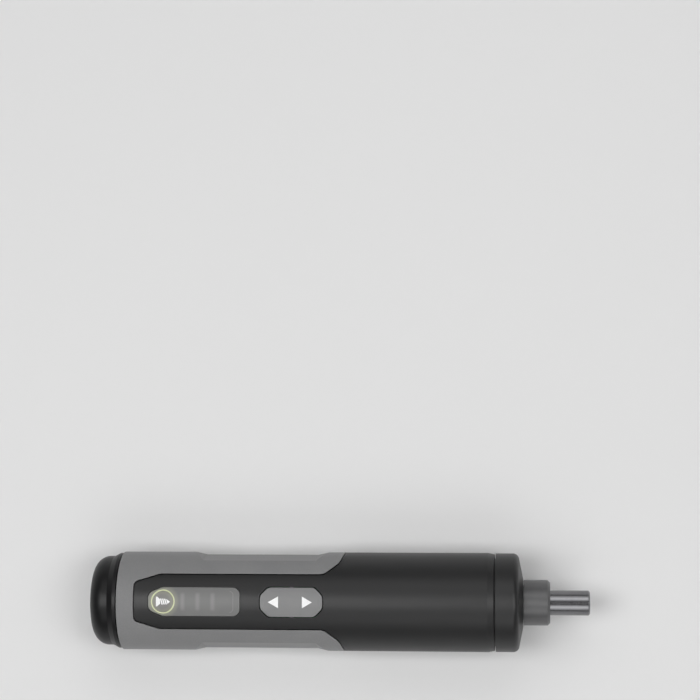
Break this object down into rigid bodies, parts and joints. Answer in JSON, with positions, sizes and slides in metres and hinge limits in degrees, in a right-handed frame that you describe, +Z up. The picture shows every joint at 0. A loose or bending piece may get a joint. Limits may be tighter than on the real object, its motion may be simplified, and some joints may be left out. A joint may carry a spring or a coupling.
{
  "type": "electric screwdriver",
  "caption": "Straight cordless screwdriver with grip sleeve, lit control panel, direction rocker and planetary gear drive to a hexagon bit socket",
  "frame": {"origin": "centre of the lying tool's footprint, on the surface it rests on", "axes": "+X along the tool to the nose, +Z up through the controls, +Y to the tool's left"},
  "size_m": [0.1826, 0.036, 0.0364],
  "materials": {
    "black_plastic": "satin moulded plastic",
    "grip_grey": "soft-touch grip",
    "cap_black": "polished moulded plastic",
    "cap_satin": "satin moulded plastic",
    "collar_grey": "dark satin coating",
    "window_grey": "tinted translucent plastic",
    "ring_light": "lit light guide",
    "bar_light": "unlit light guide",
    "button_grey": "tinted plastic",
    "rocker_grey": "fine textured plastic",
    "board_green": "solder mask",
    "switch_black": "moulded plastic",
    "lamp_white": "lamp package",
    "screw_steel": "zinc plated",
    "socket_steel": "nickel plated",
    "lead_red": "silicone insulation",
    "lead_blue": "silicone insulation",
    "cell_wrap": "shrink wrap",
    "motor_steel": "zinc plated can",
    "bell_plastic": "moulded plastic",
    "terminal_brass": "machined",
    "gear_steel": "oiled sintered steel",
    "case_alloy": "die cast",
    "bush_bronze": "sintered bronze",
    "spindle_steel": "ground and polished",
    "magnet_nickel": "nickel plated"
  },
  "bodies": {
    "handle": {"upper_housing": "black_plastic", "lower_housing": "black_plastic", "grip_sleeve": "grip_grey", "rear_cap": "cap_black", "front_cap": "cap_satin", "nose_collar": "collar_grey", "display_window": "window_grey", "light_ring": "ring_light", "charge_bars": "bar_light", "control_board": "board_green", "push_switches": "switch_black", "indicator_lamps": "lamp_white", "board_screws": "screw_steel", "charging_board": "board_green", "charging_socket": "socket_steel", "charging_tongue": "switch_black", "charging_leads": "lead_red", "motor_leads": "lead_blue", "lithium_cell": "cell_wrap", "cell_terminal": "socket_steel", "cell_tabs": "socket_steel", "motor_can": "motor_steel", "motor_end_bell": "bell_plastic", "motor_terminals": "terminal_brass", "motor_plate": "motor_steel", "motor_screws": "screw_steel", "gear_case": "case_alloy", "thrust_washer": "screw_steel", "rear_bush": "bush_bronze", "front_bush": "bush_bronze", "housing_screws": "screw_steel"},
    "rocker": {"direction_rocker": "rocker_grey"},
    "button": {"mode_button": "button_grey"},
    "spindle": {"spindle": "spindle_steel", "output_carrier": "gear_steel", "second_planet_pins": "gear_steel", "bit_magnet": "magnet_nickel", "spindle_clip": "screw_steel"},
    "second_planet_a": {"second_planet_a": "gear_steel"},
    "second_planet_b": {"second_planet_b": "gear_steel"},
    "second_planet_c": {"second_planet_c": "gear_steel"},
    "first_stage": {"first_carrier": "gear_steel", "first_planet_pins": "gear_steel", "second_sun": "gear_steel"},
    "first_planet_a": {"first_planet_a": "gear_steel"},
    "first_planet_b": {"first_planet_b": "gear_steel"},
    "first_planet_c": {"first_planet_c": "gear_steel"},
    "rotor": {"motor_shaft": "gear_steel", "motor_pinion": "terminal_brass"}
  },
  "joints": [
    {"name": "spindle_spin", "type": "hinge", "parent": "handle", "child": "spindle", "pos_m": [0, 0, 0.018], "axis": [1, 0, 0], "continuous": true},
    {"name": "first_stage_spin", "type": "hinge", "parent": "handle", "child": "first_stage", "pos_m": [0, 0, 0.018], "axis": [1, 0, 0], "continuous": true},
    {"name": "rotor_spin", "type": "hinge", "parent": "handle", "child": "rotor", "pos_m": [0, 0, 0.018], "axis": [1, 0, 0], "continuous": true},
    {"name": "second_planet_a_spin", "type": "hinge", "parent": "spindle", "child": "second_planet_a", "pos_m": [0, 0.00675, 0.018], "axis": [1, 0, 0], "continuous": true},
    {"name": "second_planet_b_spin", "type": "hinge", "parent": "spindle", "child": "second_planet_b", "pos_m": [0, -0.00337, 0.02385], "axis": [1, 0, 0], "continuous": true},
    {"name": "second_planet_c_spin", "type": "hinge", "parent": "spindle", "child": "second_planet_c", "pos_m": [0, -0.00337, 0.01215], "axis": [1, 0, 0], "continuous": true},
    {"name": "first_planet_a_spin", "type": "hinge", "parent": "first_stage", "child": "first_planet_a", "pos_m": [0, 0.00675, 0.018], "axis": [1, 0, 0], "continuous": true},
    {"name": "first_planet_b_spin", "type": "hinge", "parent": "first_stage", "child": "first_planet_b", "pos_m": [0, -0.00337, 0.02385], "axis": [1, 0, 0], "continuous": true},
    {"name": "first_planet_c_spin", "type": "hinge", "parent": "first_stage", "child": "first_planet_c", "pos_m": [0, -0.00337, 0.01215], "axis": [1, 0, 0], "continuous": true},
    {"name": "rocker_tilt", "type": "hinge", "parent": "handle", "child": "rocker", "pos_m": [-0.01625, 0, 0.0336], "axis": [0, 1, 0], "range_deg": [-2.5, 2.5], "stiffness_Nm_per_rad": 0.4},
    {"name": "button_press", "type": "slide", "parent": "handle", "child": "button", "axis": [0, 0, -1], "range_m": [0, 0.0005], "stiffness_N_per_m": 2500}
  ],
  "couplings": [
    {"joint": "first_stage_spin", "follows": "spindle_spin", "ratio": 6},
    {"joint": "rotor_spin", "follows": "spindle_spin", "ratio": 36},
    {"joint": "second_planet_a_spin", "follows": "spindle_spin", "ratio": -2.5},
    {"joint": "second_planet_b_spin", "follows": "spindle_spin", "ratio": -2.5},
    {"joint": "second_planet_c_spin", "follows": "spindle_spin", "ratio": -2.5},
    {"joint": "first_planet_a_spin", "follows": "spindle_spin", "ratio": -15},
    {"joint": "first_planet_b_spin", "follows": "spindle_spin", "ratio": -15},
    {"joint": "first_planet_c_spin", "follows": "spindle_spin", "ratio": -15}
  ]
}
